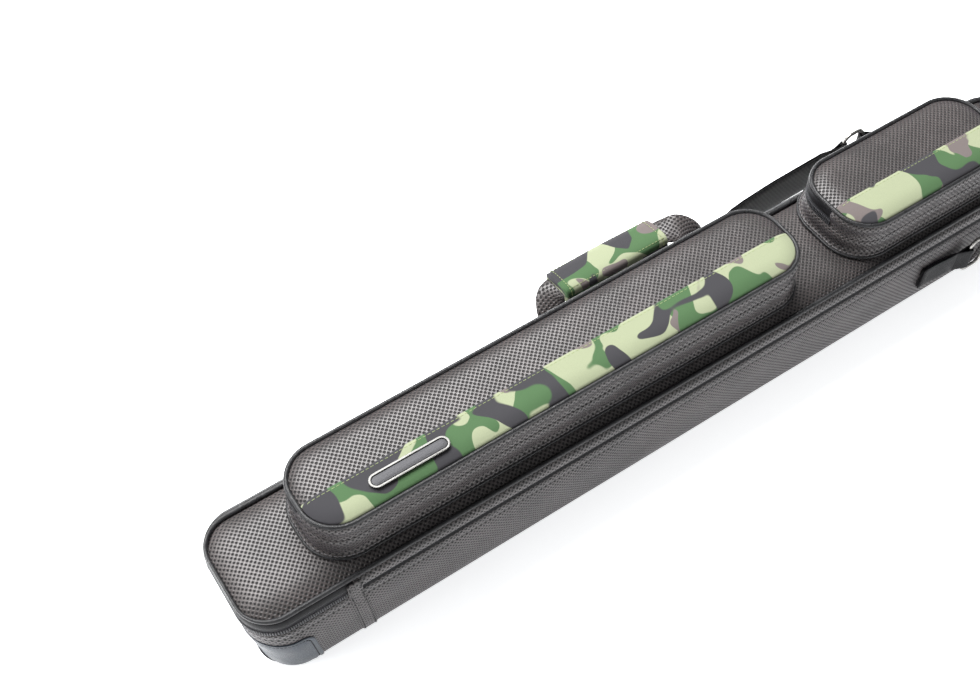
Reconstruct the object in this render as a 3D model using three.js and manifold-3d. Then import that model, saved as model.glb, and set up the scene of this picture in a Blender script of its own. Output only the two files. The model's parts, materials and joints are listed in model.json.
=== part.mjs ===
// A soft-sided case for billiard cues, lying on its back with both pockets upwards.
// Millimetres, +Z up, +X towards the end with the short pocket, +Y towards the handle.
// The origin is the centre of the flat back, on the surface that the case lies on.
import * as THREE from 'three';
import { mergeVertices } from 'three/addons/utils/BufferGeometryUtils.js';
import Module from 'manifold-3d';

const wasm = await Module();
wasm.setup();

// ---- driving dimensions -------------------------------------------------------------
const GAP = 0.3;                    // clearance between neighbouring pieces
const CASE = { length: 860, width: 100, radius: 28 };   // outline of the front piping
const BACK_THICKNESS = 2.2;
const PARTING = 81.6;               // height of the main zip and of the lid's hinge
const FRONT_PIPING_Z = 98;
const FRONT_FACE_Z = 102;           // highest part of the crowned front panel
const PIPING_RADIUS = 2.2;
const END_TAPER = 8;                // how far each end wall leans in at the bottom
const END_TUCK = 0.55;              // share by which the two ends bulge less than the sides
const ZIP_SWELL = 0.6;              // extra share by which the zip side bulges out
const MAIN_ZIP = { slit: 0.15, teeth: 0.8, tape: 1.1, backEdge: 5.3, lidEdge: 6.1 };   // from the parting
const SHELL_OUTSET = -0.8;          // outer face of the stiff shells
const SHELL_WALL = 3;
const TAB_X = 349;                  // where the main zip ends on the hinge side
const TAB_WIDTH = 11;
const PROTECTOR_TOP = 58;
const PROTECTOR_LAP = 8;            // how far a corner protector laps onto the flats
const CORNER_STEPS = 6;

const POCKETS = {
  long: { name: 'long_pocket', x: -121.1, y: 3.5, length: 472.4, width: 76.9, top: 146.4, strip: -1 },
  short: { name: 'short_pocket', x: 263.2, y: 4.3, length: 189.2, width: 85, top: 141.7, strip: -2 },
};
const POCKET_BASE = FRONT_FACE_Z + 0.4;
const POCKET_RADIUS = 31;
const POCKET_ZIP_DROP = 16;         // from the pocket's piping down to its zip
const POCKET_ZIP_END = -6;          // how far towards the hinge side the zip comes, from the middle
const POCKET_PIPING_RADIUS = 2;

const CUE_CHANNELS = [              // two butts with a deep slot for shafts between them
  { y: -27, width: 30, floor: 34 },
  { y: 0, width: 16, floor: 20 },
  { y: 27, width: 30, floor: 34 },
];
const CHANNEL_LENGTH = 790;
const TRAY_TOP = 78;

const HANDLE = { left: 70, right: 86, y: 68, z: 60, reach: 43, tilt: 44, gripLength: 112 };
const RING = { long: 42, wide: 24, radius: 9, wire: 1.8 };
const NEAR_RING = { x: 306, y: -62.5, z: 43 };
const FAR_RING = { x: 311, y: 94, z: 57 };
const CARRY_STRAP = { width: 40, middle: 50 };          // it stands on edge
const FAR_TRIM_Y = 60.2;            // middle of a strap sewn flat on the zip side
const BADGE = { length: 70, width: 13, rim: 1.75, x: -148.5, y: -20.5 };
const STRAP_WIDTH = 28;
const STRAP_THICKNESS = 3;

// ---- materials ----------------------------------------------------------------------
const finish = (color, roughness, metalness = 0) =>
  new THREE.MeshStandardMaterial({ color, roughness, metalness });
const perforated = finish(0x48444a, 0.55);
const smoothLeather = finish(0x2a2a2e, 0.42);
const zipTape = finish(0x1d1d20, 0.8);
const zipTeeth = finish(0x2e2e31, 0.45);
const camouflage = finish(0x7d8a60, 0.85);
const stiffBoard = finish(0x3a342e, 0.8);
const plush = finish(0x26262a, 0.95);
const webbing = finish(0x17171a, 0.6);
const nickel = finish(0xc9c7c2, 0.25, 1);

// ---- outlines -----------------------------------------------------------------------
// A station is a point of a plan outline together with its outward normal.
const station = (x, y, nx, ny) => ({ x, y, nx, ny });

// Corner 0 is near right, 1 far right, 2 far left and 3 near left.
function cornerStations({ length, width, radius }, corner, steps = CORNER_STEPS) {
  const cx = (corner < 2 ? 1 : -1) * (length / 2 - radius);
  const cy = (corner === 1 || corner === 2 ? 1 : -1) * (width / 2 - radius);
  return Array.from({ length: steps + 1 }, (_, i) => {
    const angle = (corner - 1 + i / steps) * Math.PI / 2;
    const [nx, ny] = [Math.cos(angle), Math.sin(angle)];
    return station(cx + radius * nx, cy + radius * ny, nx, ny);
  });
}

const allRound = (outline) => [0, 1, 2, 3].flatMap((corner) => cornerStations(outline, corner));

// From one end of the zip on the hinge side, round three sides, to its other end.
const zipRun = (outline, endX) => [
  station(endX, -outline.width / 2, 0, -1),
  ...allRound(outline),
  station(-endX, -outline.width / 2, 0, -1),
];

// A pocket's zip stops on its two ends, a little short of the corners on the hinge side.
const pocketZipRun = (outline, endY) => [
  station(outline.length / 2, endY, 1, 0),
  ...cornerStations(outline, 1),
  ...cornerStations(outline, 2),
  station(-outline.length / 2, endY, -1, 0),
];

const hingeRun = (outline, endX) => [
  station(-endX, -outline.width / 2, 0, -1),
  station(endX, -outline.width / 2, 0, -1),
];

// Moves a station out by an outset at a height; the body bulges most on its zip side and
// least at its ends, and its end walls lean in towards the bottom.
function bodyPoint(s, [outset, z]) {
  const bulge = (1 + ZIP_SWELL * Math.max(0, s.ny)) * (1 - END_TUCK * Math.abs(s.nx));
  const out = outset > 0 ? outset * bulge : outset;
  const lean = END_TAPER * Math.max(0, 1 - z / PARTING);
  const x = (s.x + s.nx * out) * (1 - lean / (CASE.length / 2));
  return new THREE.Vector3(x, s.y + s.ny * out, z);
}

const plainPoint = (s, [outset, z]) =>
  new THREE.Vector3(s.x + s.nx * outset, s.y + s.ny * outset, z);

// ---- solids -------------------------------------------------------------------------
const signedVolume = (points, faces) => faces.reduce(
  (sum, [a, b, c]) => sum + points[a].dot(points[b].clone().cross(points[c])), 0);

function geometryFrom(points, faces) {
  const outward = signedVolume(points, faces) > 0;
  const geometry = new THREE.BufferGeometry().setFromPoints(points);
  geometry.setIndex(faces.flatMap(([a, b, c]) => (outward ? [a, b, c] : [a, c, b])));
  geometry.computeVertexNormals();
  return geometry;
}

// Triangles that fill a flat outline, wound the same way round as the outline itself.
function fillOutline(profile) {
  const outline = profile.map(([u, v]) => new THREE.Vector2(u, v));
  const clockwise = THREE.ShapeUtils.isClockWise(outline);
  return THREE.ShapeUtils.triangulateShape(outline, []).map(([a, b, c]) => {
    const turned = THREE.ShapeUtils.isClockWise([outline[a], outline[b], outline[c]]);
    return turned === clockwise ? [a, b, c] : [a, c, b];
  });
}

// Joins rows of points into one closed solid. Where the rows don't close on themselves,
// the first and last get a fan as a cap; an open run of stations is capped by its profile.
function gridSolid(rows, rowsClose, columnsClose, profile) {
  const [m, n] = [rows.length, rows[0].length];
  const points = rows.flat();
  const faces = [];
  for (let i = 0; i < (rowsClose ? m : m - 1); i += 1) {
    for (let j = 0; j < (columnsClose ? n : n - 1); j += 1) {
      const [a, b] = [i * n + j, i * n + (j + 1) % n];
      const [c, d] = [((i + 1) % m) * n + (j + 1) % n, ((i + 1) % m) * n + j];
      faces.push([a, b, c], [a, c, d]);
    }
  }
  const cap = (loop, flipped) => {
    const centre = loop.reduce((sum, k) => sum.add(points[k]), new THREE.Vector3());
    points.push(centre.divideScalar(loop.length));
    loop.forEach((k, i) => {
      const next = loop[(i + 1) % loop.length];
      faces.push(flipped ? [points.length - 1, next, k] : [points.length - 1, k, next]);
    });
  };
  if (!rowsClose) {
    cap(rows[0].map((_, j) => j), true);
    cap(rows[0].map((_, j) => (m - 1) * n + j), false);
  }
  if (!columnsClose) {
    fillOutline(profile).forEach(([a, b, c]) => {
      faces.push([a * n, b * n, c * n], [a * n + n - 1, c * n + n - 1, b * n + n - 1]);
    });
  }
  return geometryFrom(points, faces);
}

const loft = (stations, profile, place) => profile.map((p) => stations.map((s) => place(s, p)));

// A band of closed cross-section: all the way round, or along an open run.
const ring = (outline, profile, place = plainPoint) =>
  gridSolid(loft(allRound(outline), profile, place), true, true);
const band = (stations, profile, place = plainPoint) =>
  gridSolid(loft(stations, profile, place), true, false, profile);

// A plate, dish or cup: the profile starts on the lower cap and ends on the upper one.
const plate = (outline, profile, place = plainPoint) =>
  gridSolid(loft(allRound(outline), profile, place), false, true);

const circleProfile = (radius, z, outset = 0, sides = 8) => Array.from({ length: sides }, (_, i) => {
  const angle = (i + 0.5) / sides * 2 * Math.PI;
  return [outset + radius * Math.cos(angle), z + radius * Math.sin(angle)];
});

const boxProfile = (inner, outer, low, high) =>
  [[inner, low], [outer, low], [outer, high], [inner, high]];

// ---- joining and cutting ------------------------------------------------------------
function toSolid(geometry) {
  const bare = geometry.clone();
  bare.deleteAttribute('normal');
  bare.deleteAttribute('uv');
  const merged = mergeVertices(bare, 1e-4);
  return new wasm.Manifold(new wasm.Mesh({
    numProp: 3,
    vertProperties: new Float32Array(merged.attributes.position.array),
    triVerts: new Uint32Array(merged.index.array),
  }));
}

function toGeometry(solid) {
  const mesh = solid.getMesh();
  const geometry = new THREE.BufferGeometry();
  geometry.setAttribute('position', new THREE.BufferAttribute(mesh.vertProperties, 3));
  geometry.setIndex(new THREE.BufferAttribute(mesh.triVerts, 1));
  geometry.computeVertexNormals();
  return geometry;
}

const block = (x, y, z, cx, cy, cz) => new THREE.BoxGeometry(x, y, z).translate(cx, cy, cz);
const upright = (radius, height, x, y, z) =>
  new THREE.CylinderGeometry(radius, radius, height, 16).rotateX(Math.PI / 2).translate(x, y, z);

const extruded = (shape, depth, curveSegments = 8) =>
  new THREE.ExtrudeGeometry(shape, { depth, bevelEnabled: false, curveSegments });

// ---- straps -------------------------------------------------------------------------
// A strap seen from above: a curve through points, given a thickness and a height.
function strap(points, thickness, height, middleZ, steps = 14) {
  const curve = new THREE.CatmullRomCurve3(points.map(([x, y]) => new THREE.Vector3(x, y, 0)));
  const side = (sign) => Array.from({ length: steps + 1 }, (_, i) => {
    const p = curve.getPoint(i / steps);
    const t = curve.getTangent(i / steps);
    return new THREE.Vector2(p.x - sign * t.y * thickness / 2, p.y + sign * t.x * thickness / 2);
  });
  const outline = new THREE.Shape([...side(1), ...side(-1).reverse()]);
  return extruded(outline, height).translate(0, 0, middleZ - height / 2);
}

// Ends a strap in a barrel with a hole for the wire of a ring.
function withEye(strapGeometry, x, y, z, height) {
  const barrel = toSolid(upright(RING.wire + 2.2, height, x, y, z));
  const hole = toSolid(upright(RING.wire + 0.4, height + 10, x, y, z));
  return toGeometry(toSolid(strapGeometry).add(barrel).subtract(hole));
}

// ---- scene graph --------------------------------------------------------------------
const cueCase = new THREE.Group();
const bodyGroup = (x = 0, y = 0, z = 0) => {
  const group = new THREE.Group();
  group.position.set(x, y, z);
  cueCase.add(group);
  return group;
};

function piece(group, name, geometry, material, x = 0, y = 0, z = 0) {
  const mesh = new THREE.Mesh(geometry, material);
  mesh.name = name;
  mesh.position.set(x, y, z);
  group.add(mesh);
  return mesh;
}

// ---- the back: wall, shell and cue tray ---------------------------------------------
const WALL_PROFILE = [              // [outset, height] of the leather side wall
  [0.2, BACK_THICKNESS + GAP], [1.8, 5], [3.4, 12], [4.6, 26], [5, 44], [4.4, 62], [3.6, 76],
];

function wallOutset(z) {
  const i = Math.max(1, WALL_PROFILE.findIndex(([, height]) => height >= z));
  const [[o0, z0], [o1, z1]] = [WALL_PROFILE[i - 1], WALL_PROFILE[i]];
  return o0 + (o1 - o0) * (z - z0) / (z1 - z0);
}

// A patch of leather laid on the side wall along a run of stations.
function wallPatch(stations, low, high, thickness) {
  const between = WALL_PROFILE.map(([, z]) => z).filter((z) => z > low && z < high);
  const heights = [low, ...between, high];
  const outer = heights.map((z) => [wallOutset(z) + GAP + thickness, z]);
  const inner = heights.map((z) => [wallOutset(z) + GAP, z]).reverse();
  return band(stations, [...outer, ...inner], bodyPoint);
}

function addBack(group) {
  const bottom = BACK_THICKNESS + GAP;
  const shellTop = PARTING - 1.1;
  const shellInner = SHELL_OUTSET - SHELL_WALL;
  const shellFloor = bottom + SHELL_WALL;
  const panel = [[-7, 0], [-4, 0.7], [-2.6, BACK_THICKNESS]];
  piece(group, 'back_panel', plate(CASE, panel, bodyPoint), perforated);
  piece(group, 'back_shell', plate(CASE, [
    [SHELL_OUTSET - 1.4, bottom], [SHELL_OUTSET, bottom + 3], [SHELL_OUTSET, shellTop],
    [shellInner, shellTop], [shellInner, shellFloor],
  ], bodyPoint), stiffBoard);
  const inside = SHELL_OUTSET + GAP;
  const wall = [...WALL_PROFILE, [inside, 76], [inside, bottom + 3.2], [inside - 1.2, bottom]];
  piece(group, 'side_wall', ring(CASE, wall, bodyPoint), perforated);
  piece(group, 'cue_tray', cueTray(shellInner - GAP, shellFloor + GAP), plush);
}

// Foam with open-topped channels whose floors are round.
function cueTray(outset, bottom) {
  let tray = toSolid(plate(CASE, [[outset, bottom], [outset, TRAY_TOP]], bodyPoint));
  CUE_CHANNELS.forEach(({ y, width, floor }) => {
    const radius = width / 2;
    const slot = new THREE.Shape();
    slot.moveTo(-radius, TRAY_TOP + 5);
    slot.lineTo(-radius, floor + radius);
    slot.absarc(0, floor + radius, radius, Math.PI, 2 * Math.PI, false);
    slot.lineTo(radius, TRAY_TOP + 5);
    const cutter = extruded(slot, CHANNEL_LENGTH, 10).translate(0, 0, -CHANNEL_LENGTH / 2);
    cutter.rotateX(Math.PI / 2).rotateZ(Math.PI / 2).translate(0, y, 0);
    tray = tray.subtract(toSolid(cutter));
  });
  return toGeometry(tray);
}

// ---- the main zip and the leather hinge ---------------------------------------------
// Four corners of a band: its hidden face, then its outer face from bottom to top.
const bandSection = (inner, [lowOutset, low], [highOutset, high]) =>
  [[inner, low], [lowOutset, low], [highOutset, high], [inner, high]];

function addMainZip(back, lid) {
  const run = zipRun(CASE, TAB_X - 1);
  const near = hingeRun(CASE, TAB_X - 2);
  const { slit, teeth, tape, backEdge, lidEdge } = MAIN_ZIP;
  const [low, high] = [PARTING - backEdge, PARTING + lidEdge];
  const strip = (body, name, stations, section, material) =>
    piece(body, name, band(stations, section, bodyPoint), material);
  strip(back, 'back_zip_tape', run, bandSection(1, [3.7, low], [3.4, PARTING - tape]), zipTape);
  strip(back, 'back_zip_teeth', run, boxProfile(1.2, 4.2, PARTING - teeth, PARTING - slit), zipTeeth);
  strip(back, 'back_hinge_strip', near, bandSection(0.5, [3.4, low], [3.2, PARTING - 0.7]), perforated);
  strip(lid, 'lid_zip_teeth', run, boxProfile(1.2, 4.2, PARTING + slit, PARTING + teeth), zipTeeth);
  strip(lid, 'lid_zip_tape', run, bandSection(1, [3.4, PARTING + tape], [4.4, high]), zipTape);
  strip(lid, 'lid_hinge_strip', near, bandSection(0.5, [3.4, PARTING + 0.7], [4.4, high]), perforated);
}

// ---- the lid that is the front of the case ------------------------------------------
function addFrontLid(group) {
  const shellLow = PARTING + 1.6;
  const shellHigh = 95.2;
  const shellInner = SHELL_OUTSET - SHELL_WALL + 0.5;
  const ceiling = shellHigh - 2.5;
  const edge = -PIPING_RADIUS - GAP;
  piece(group, 'lid_shell', plate(CASE, [
    [SHELL_OUTSET, shellHigh], [SHELL_OUTSET, shellLow], [shellInner, shellLow], [shellInner, ceiling],
  ]), stiffBoard);
  piece(group, 'lid_pad', plate(CASE, [
    [shellInner - 4, shellLow + 0.8], [shellInner - GAP, shellLow + 3.5], [shellInner - GAP, ceiling - GAP],
  ]), plush);
  piece(group, 'front_panel', plate(CASE, [
    [edge, shellHigh + GAP], [edge, 99.2], [-6, 100.8], [-12, 101.7], [-20, FRONT_FACE_Z],
  ]), perforated);
  piece(group, 'front_piping', ring(CASE, circleProfile(PIPING_RADIUS, FRONT_PIPING_Z)), smoothLeather);
  piece(group, 'lid_band', ring(CASE, [
    [-0.5, 88], [4.6, 88], [5.2, 91], [4.4, 94], [2.4, 95.4], [-0.5, 95.4],
  ], bodyPoint), smoothLeather);
}

// ---- corner protectors and zip ends -------------------------------------------------
function addWallTrim(group) {
  const names = ['corner_near_right', 'corner_far_right', 'corner_far_left', 'corner_near_left'];
  names.forEach((name, corner) => {
    const arc = cornerStations(CASE, corner);
    const lap = (s, direction) =>
      station(s.x - s.ny * direction * PROTECTOR_LAP, s.y + s.nx * direction * PROTECTOR_LAP, s.nx, s.ny);
    const run = [lap(arc[0], -1), ...arc, lap(arc[arc.length - 1], 1)];
    piece(group, name, wallPatch(run, 3, PROTECTOR_TOP, 1.8), smoothLeather);
  });
  [['left', -1], ['right', 1]].forEach(([side, sign]) => {
    const run = [-1, 1].map((end) =>
      station(sign * TAB_X + end * TAB_WIDTH / 2, -CASE.width / 2, 0, -1));
    piece(group, `zip_end_tab_${side}`, wallPatch(run, 6, 75.5, 1.6), perforated);
  });
}

// ---- pockets ------------------------------------------------------------------------
// A zip's slider: a low block with a bridge, and a pull tab on the bridge.
function sliderBody() {
  const outline = new THREE.Shape();
  outline.moveTo(-6, -4.4);
  outline.lineTo(4, -3.4);
  outline.quadraticCurveTo(6, 0, 4, 3.4);
  outline.lineTo(-6, 4.4);
  outline.closePath();
  const bodySolid = toSolid(extruded(outline, 2.4).rotateX(Math.PI / 2).translate(0, 2.4, 0));
  const bridge = toSolid(block(7, 3, 1.8, -0.5, 3.6, 0));
  const eye = toSolid(block(3.4, 1.6, 4, -0.5, 3.2, 0));
  return toGeometry(bodySolid.add(bridge).subtract(eye));
}

// The pull's bar stands in the bridge's eye; the plate hangs from it towards -X.
function pullTab(length) {
  const plateSolid = toSolid(block(length, 1.2, 7, -length / 2 - 4.4, 0, 0));
  const arms = [-1, 1].map((side) => toSolid(block(5.2, 1.2, 1.3, -2.3, 0, side * 2.85)));
  const bar = toSolid(upright(0.55, 6, 0, 0, 0));
  return toGeometry(arms.reduce((solid, arm) => solid.add(arm), plateSolid).add(bar));
}

function addSlider(name, x, y, z, pullLength) {
  const slider = bodyGroup(x, y, z);
  piece(slider, `${name}_slider`, sliderBody(), nickel);
  piece(slider, `${name}_pull`, pullTab(pullLength), nickel, -0.5, 3.2, 0);
}

function addPocket(lid, spec) {
  const { name, x, y, top } = spec;
  const outline = { length: spec.length, width: spec.width, radius: POCKET_RADIUS };
  const zip = top - POCKET_ZIP_DROP;
  const base = POCKET_BASE;
  const run = pocketZipRun(outline, POCKET_ZIP_END);
  const wall = new THREE.Group();
  wall.position.set(x, y, 0);
  lid.add(wall);
  piece(wall, `${name}_wall`, ring(outline, [
    [2.2, base], [2.2, base + 3], [1, base + 9], [1.8, base + 15], [1.1, zip - 5], [1.1, zip - 1.2],
    [-1, zip - 1.2], [-1, base],
  ]), perforated);
  piece(wall, `${name}_base_welt`, ring(outline, circleProfile(1.3, base + 1.4, 4)), smoothLeather);
  piece(wall, `${name}_zip_tape`, band(run, boxProfile(1.4, 2.1, zip - 4.7, zip - 1.2)), zipTape);
  piece(wall, `${name}_zip_teeth`, band(run, boxProfile(-0.5, 1.7, zip - 0.9, zip - 0.15)), zipTeeth);
  addPocketLid(bodyGroup(x, y, 0), spec, outline, zip, run);
}

function addPocketLid(group, { name, top, y, strip }, outline, zip, run) {
  const edge = -POCKET_PIPING_RADIUS - GAP;
  const panel = plate(outline, [
    [edge, top - 3], [edge, top + 1], [-6, top + 2.6], [-14, top + 3.6], [-22, top + 4],
  ]);
  piece(group, `${name}_lid_teeth`, band(run, boxProfile(-0.5, 1.7, zip + 0.15, zip + 0.9)), zipTeeth);
  piece(group, `${name}_lid_tape`, band(run, boxProfile(1.4, 2.1, zip + 1.2, zip + 4.7)), zipTape);
  piece(group, `${name}_lid_band`, ring(outline, [
    [-1, zip + 1.2], [1.1, zip + 1.2], [1.1, zip + 5], [1.8, zip + 8], [0.9, top - 2.4], [-1, top - 2.4],
  ]), smoothLeather);
  piece(group, `${name}_piping`, ring(outline, circleProfile(POCKET_PIPING_RADIUS, top)), smoothLeather);
  piece(group, `${name}_panel`, panel, perforated);
  piece(group, `${name}_camo_strip`, camoStrip(panel, outline, strip - y), camouflage);
}

// A sheet over the hinge side of a crowned panel, following the panel's surface.
function camoStrip(panel, outline, edgeY) {
  const thickness = 1;
  const raised = (by) => toSolid(panel.clone().translate(0, 0, by));
  const half = block(outline.length, outline.width, 400, 0, edgeY - outline.width / 2, 0);
  return toGeometry(raised(GAP + thickness).intersect(toSolid(half)).subtract(raised(GAP)));
}

// A plain oval name-plate blank with a raised rim.
function addBadge(group, top) {
  const oval = (long, wide) => {
    const shape = new THREE.Shape();
    const [flat, r] = [long / 2 - wide / 2, wide / 2];
    shape.absarc(flat, 0, r, -Math.PI / 2, Math.PI / 2, false);
    shape.absarc(-flat, 0, r, Math.PI / 2, 1.5 * Math.PI, false);
    return shape;
  };
  const { length, width, rim, x, y } = BADGE;
  const blank = toSolid(extruded(oval(length, width), 1.8, 6));
  const recess = toSolid(extruded(oval(length - 2 * rim, width - 2 * rim), 2, 6).translate(0, 0, 1.2));
  piece(group, 'badge', toGeometry(blank.subtract(recess)), nickel, x, y, top + 5.7);
}

// ---- handle -------------------------------------------------------------------------
const HANDLE_SIDES = [['left', -1], ['right', 1]];

function addHandleAnchors(group) {
  const [wallY, thickness] = [58.4, 3];
  HANDLE_SIDES.forEach(([side, sign]) => {
    const x = sign * HANDLE[side];
    const patch = block(26, thickness, STRAP_WIDTH, x, wallY + thickness / 2, HANDLE.z);
    piece(group, `handle_anchor_${side}`, patch, perforated);
  });
}

function addHandle(group) {
  group.rotation.x = THREE.MathUtils.degToRad(HANDLE.tilt);
  const gripHalf = HANDLE.gripLength / 2;
  HANDLE_SIDES.forEach(([side, sign]) => {
    const start = HANDLE[side];
    const spread = start - gripHalf;
    const path = [
      [start, 3], [start + 1, 14], [start - 0.2 * spread, 28],
      [gripHalf + 0.5 * spread, HANDLE.reach - 5], [gripHalf + 4, HANDLE.reach],
      [gripHalf + 2 * GAP, HANDLE.reach],
    ];
    piece(group, `handle_strap_${side}`,
      strap(path.map(([x, y]) => [sign * x, y]), 4, 16, 0, 12), perforated);
  });
  const section = { length: 34, width: 18, radius: 8.5 };
  const grip = plate(section, [
    [-2.5, -gripHalf], [0, -gripHalf + 4], [0, gripHalf - 4], [-2.5, gripHalf],
  ]).rotateY(Math.PI / 2);
  piece(group, 'handle_grip', grip, camouflage, 0, HANDLE.reach, 0);
}

// ---- rings and the carry strap ------------------------------------------------------
// A rounded wire loop standing upright, with one long side on its own origin.
function wireRing(direction) {
  const outline = { length: RING.wide, width: RING.long, radius: RING.radius };
  const loop = ring(outline, circleProfile(RING.wire, 0, 0, 8));
  return loop.rotateX(Math.PI / 2).translate(direction * RING.wide / 2, 0, 0);
}

const eyeHeight = RING.long - 2 * RING.radius + 3;

function addNearRing(back, ringGroup) {
  const { x, y, z } = NEAR_RING;
  const wallY = -CASE.width / 2 - 5.6 - 1.6;
  const route = [[x - 54, wallY], [x - 28, wallY], [x - 6, y + 2], [x, y]];
  const tab = strap(route, 3.2, eyeHeight, z, 8);
  piece(back, 'near_ring_tab', withEye(tab, x, y, z, eyeHeight), smoothLeather);
  piece(ringGroup, 'near_ring', wireRing(1), nickel);
}

function addFarRingAndStrap(back) {
  const { x, y, z } = FAR_RING;
  const tabRoute = [[x + 62, FAR_TRIM_Y], [x + 44, FAR_TRIM_Y + 2], [x + 18, y - 12], [x, y]];
  const tab = strap(tabRoute, 3.2, eyeHeight, z, 10);
  piece(back, 'far_ring_tab', withEye(tab, x, y, z, eyeHeight), smoothLeather);
  piece(back, 'far_ring', wireRing(-1), nickel, x, y, z);
  const eyeX = x - RING.wide;
  const route = [
    [103, FAR_TRIM_Y], [109, FAR_TRIM_Y + 7], [121, 80], [144, 88], [190, 92], [250, 93], [eyeX, y],
  ];
  const carry = strap(route, STRAP_THICKNESS, CARRY_STRAP.width, CARRY_STRAP.middle, 24);
  piece(back, 'carry_strap', withEye(carry, eyeX, y, z, eyeHeight), webbing);
}

// ---- assembly -----------------------------------------------------------------------
const back = bodyGroup();
const lid = bodyGroup();
addBack(back);
addMainZip(back, lid);
addFrontLid(lid);
addWallTrim(back);
addHandleAnchors(back);
addHandle(bodyGroup(0, HANDLE.y, HANDLE.z));
addNearRing(back, bodyGroup(NEAR_RING.x, NEAR_RING.y, NEAR_RING.z));
addFarRingAndStrap(back);
Object.values(POCKETS).forEach((spec) => addPocket(lid, spec));
addSlider('main', 388, 57.5, PARTING, 24);
Object.values(POCKETS).forEach(({ name, x, y, length, width, top }) => {
  const startX = x + length / 2 - POCKET_RADIUS - 8;
  addSlider(name, startX, y + width / 2 + 2.5, top - POCKET_ZIP_DROP, 18);
});
addBadge(cueCase.children.find((group) => group.getObjectByName('long_pocket_panel')), POCKETS.long.top);

export default cueCase;
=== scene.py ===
"""A soft-sided cue case with two pockets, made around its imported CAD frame.

Lengths are millimetres and become metres where a mesh is made. Only the lights, the floor
and the distances of bumps are in metres. X runs along the case, Y towards the handle, Z up.
"""
import json
from math import ceil, copysign, cos, exp, hypot, pi, radians, sin, sqrt

import bmesh
import bpy
from mathutils import Matrix, Vector, noise


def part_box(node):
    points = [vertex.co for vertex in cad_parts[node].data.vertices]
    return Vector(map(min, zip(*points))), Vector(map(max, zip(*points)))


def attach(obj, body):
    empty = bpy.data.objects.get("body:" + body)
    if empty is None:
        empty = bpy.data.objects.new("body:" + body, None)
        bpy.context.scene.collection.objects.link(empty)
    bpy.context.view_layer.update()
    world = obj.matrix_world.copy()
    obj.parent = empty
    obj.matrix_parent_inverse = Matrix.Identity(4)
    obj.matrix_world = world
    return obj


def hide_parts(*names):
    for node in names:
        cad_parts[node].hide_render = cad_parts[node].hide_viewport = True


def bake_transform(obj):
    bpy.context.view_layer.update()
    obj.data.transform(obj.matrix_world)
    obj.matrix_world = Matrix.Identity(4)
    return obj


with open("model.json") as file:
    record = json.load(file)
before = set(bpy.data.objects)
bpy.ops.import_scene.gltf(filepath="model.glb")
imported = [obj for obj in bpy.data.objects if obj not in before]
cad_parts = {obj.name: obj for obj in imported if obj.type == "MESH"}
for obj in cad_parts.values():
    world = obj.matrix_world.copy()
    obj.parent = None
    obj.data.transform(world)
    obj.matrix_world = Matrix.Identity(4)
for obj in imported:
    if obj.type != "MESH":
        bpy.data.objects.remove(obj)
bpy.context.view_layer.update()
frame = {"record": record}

MM = 0.001
BACK, LID = "case_back", "front_lid"  # the two main bodies


def add_object(name, data):
    made = bpy.data.objects.new(name, data)
    bpy.context.scene.collection.objects.link(made)
    return made


# ---- camera and light ----
def make_camera():
    """Looks down along the case from its left end, as a hand-held picture does."""
    place = Vector((-468.9, -450.2, 995.9)) * MM
    yaw, down, roll = radians(32.2), radians(55.8), radians(-1.3)
    ahead = Vector((sin(yaw) * cos(down), cos(yaw) * cos(down), -sin(down)))
    level = Vector((cos(yaw), -sin(yaw), 0))
    above = level.cross(ahead)
    right = level * cos(roll) + above * sin(roll)
    up = above * cos(roll) - level * sin(roll)
    data = bpy.data.cameras.new("camera")
    data.sensor_width = 36
    data.lens = 47.09
    data.clip_end = 20
    camera = add_object("camera", data)
    camera.matrix_world = Matrix.Translation(place) @ Matrix((right, up, -ahead)).transposed().to_4x4()
    bpy.context.scene.camera = camera


def area_light(name, place, aim, size, power):
    data = bpy.data.lights.new(name, "AREA")
    data.shape = "RECTANGLE"
    data.size, data.size_y = size
    data.energy = power
    light = add_object(name, data)
    light.location = place
    light.rotation_euler = (Vector(aim) - Vector(place)).to_track_quat("-Z", "Y").to_euler()


def make_light():
    """A pale room, a wide soft box behind that shines off the upper faces, and two fill lights."""
    world = bpy.data.worlds.new("studio")
    world.use_nodes = True
    background = world.node_tree.nodes["Background"].inputs
    background["Color"].default_value = (0.97, 0.985, 1, 1)
    background["Strength"].default_value = 0.27
    bpy.context.scene.world = world
    area_light("soft_box_back", (-0.25, 1.25, 2.2), (-0.2, 0, 0.1), (2.6, 1.3), 195)
    area_light("soft_box_left", (-2.3, 0.4, 1.2), (-0.1, 0, 0.1), (0.9, 0.9), 22)
    area_light("strip_front", (0.5, -2.2, 0.9), (0, 0, 0.1), (2.2, 0.25), 13)
    bpy.context.scene.view_settings.view_transform = "Standard"


make_camera()
make_light()


# ---- outlines ----
def box(node):
    lo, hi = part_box(node)
    return lo / MM, hi / MM


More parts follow.
